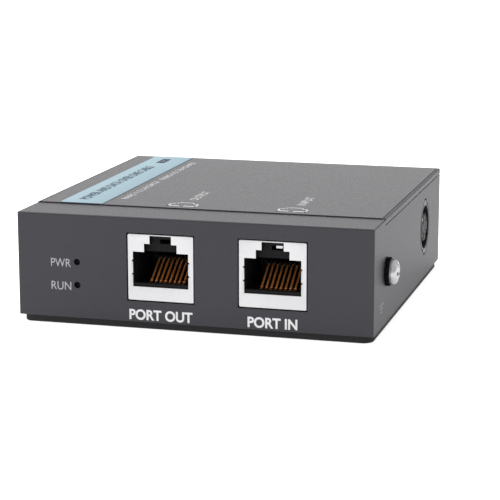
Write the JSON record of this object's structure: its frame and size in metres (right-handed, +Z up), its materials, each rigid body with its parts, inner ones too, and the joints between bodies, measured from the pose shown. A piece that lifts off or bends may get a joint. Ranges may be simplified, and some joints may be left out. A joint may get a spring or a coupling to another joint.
{
  "type": "poe injector",
  "caption": "Small folded sheet-metal power-over-Ethernet injector with two shielded modular jacks, round DC power socket and ground screw",
  "frame": {"origin": "centre of the box footprint on the underside of the bottom pan", "axes": "+Z up, -Y out of the front panel with the two jacks, +X towards the side with the ground screw and power socket"},
  "size_m": [0.0786, 0.0787, 0.0238],
  "materials": {
    "powder_coat_dark": "fine matt powder coat",
    "powder_coat_cover": "fine matt powder coat",
    "pan_coat": "matt powder coat",
    "label_film": "printed polyester film",
    "screw_zinc": "bright nickel plate",
    "washer_black": "black oxide",
    "mylar": "translucent polyester sheet",
    "brass_standoff": "machined",
    "solder_mask": "solder mask",
    "jack_nickel": "nickel-plated spring steel",
    "jack_plastic": "moulded thermoplastic",
    "contact_gold": "gold-plated phosphor bronze",
    "socket_plastic": "moulded thermoplastic",
    "socket_core_plastic": "moulded thermoplastic",
    "socket_metal": "nickel-plated",
    "pin_tin": "tin plate",
    "clear_acrylic": "smoked moulding",
    "led_body": "epoxy",
    "epoxy_black": "moulding compound",
    "ferrite": "pressed ferrite",
    "enamel_copper": "enamelled copper",
    "capacitor_sleeve": "shrink sleeve",
    "rubber_seal": "seal",
    "ceramic_disc_blue": "epoxy-dipped ceramic",
    "ceramic_tan": "fired ceramic",
    "resistor_black": "glazed"
  },
  "bodies": {
    "chassis": {"body_shell": "powder_coat_dark", "top_cover": "powder_coat_cover", "bottom_pan": "pan_coat", "top_label": "label_film", "cover_screws": "screw_zinc", "pan_screws": "screw_zinc", "board_screws": "screw_zinc", "ground_nut": "screw_zinc", "insulating_sheet": "mylar", "board_standoffs": "brass_standoff", "main_board": "solder_mask", "jack_out_shield": "jack_nickel", "jack_in_shield": "jack_nickel", "jack_out_insulator": "jack_plastic", "jack_in_insulator": "jack_plastic", "jack_out_leads": "contact_gold", "jack_in_leads": "contact_gold", "socket_housing": "socket_plastic", "socket_core": "socket_core_plastic", "socket_ring": "socket_metal", "socket_pins": "pin_tin", "transformer_leads": "pin_tin", "chip_leads": "pin_tin", "clock_crystal": "pin_tin", "light_pipes": "clear_acrylic", "indicator_leds": "led_body", "transformer_out": "epoxy_black", "transformer_in": "epoxy_black", "port_controller": "epoxy_black", "microcontroller": "epoxy_black", "switching_transistor": "epoxy_black", "surge_diodes": "epoxy_black", "input_fuse": "epoxy_black", "power_inductor": "ferrite", "choke_core": "ferrite", "choke_winding": "enamel_copper", "bulk_capacitors": "capacitor_sleeve", "capacitor_seals": "rubber_seal", "chassis_capacitors": "ceramic_disc_blue", "chip_capacitors": "ceramic_tan", "chip_resistors": "resistor_black"},
    "contacts_out": {"jack_out_contacts": "contact_gold"},
    "contacts_in": {"jack_in_contacts": "contact_gold"},
    "ground_travel": {"ground_washer": "washer_black"},
    "ground_turn": {"ground_screw": "screw_zinc"}
  },
  "joints": [
    {"name": "contacts_out_press", "type": "hinge", "parent": "chassis", "child": "contacts_out", "pos_m": [-0.00665, -0.0336, 0.0093], "axis": [1, 0, 0], "range_deg": [-20, 0], "stiffness_Nm_per_rad": 0.1},
    {"name": "contacts_in_press", "type": "hinge", "parent": "chassis", "child": "contacts_in", "pos_m": [0.01715, -0.0336, 0.0093], "axis": [1, 0, 0], "range_deg": [-20, 0], "stiffness_Nm_per_rad": 0.1},
    {"name": "ground_screw_travel", "type": "slide", "parent": "chassis", "child": "ground_travel", "axis": [1, 0, 0], "range_m": [0, 0.0015]},
    {"name": "ground_screw_turn", "type": "hinge", "parent": "ground_travel", "child": "ground_turn", "pos_m": [0.03805, -0.0256, 0.0123], "axis": [1, 0, 0], "range_deg": [0, 1080]}
  ],
  "couplings": [
    {"joint": "ground_screw_turn", "follows": "ground_screw_travel", "rad_per_m": 12566}
  ]
}
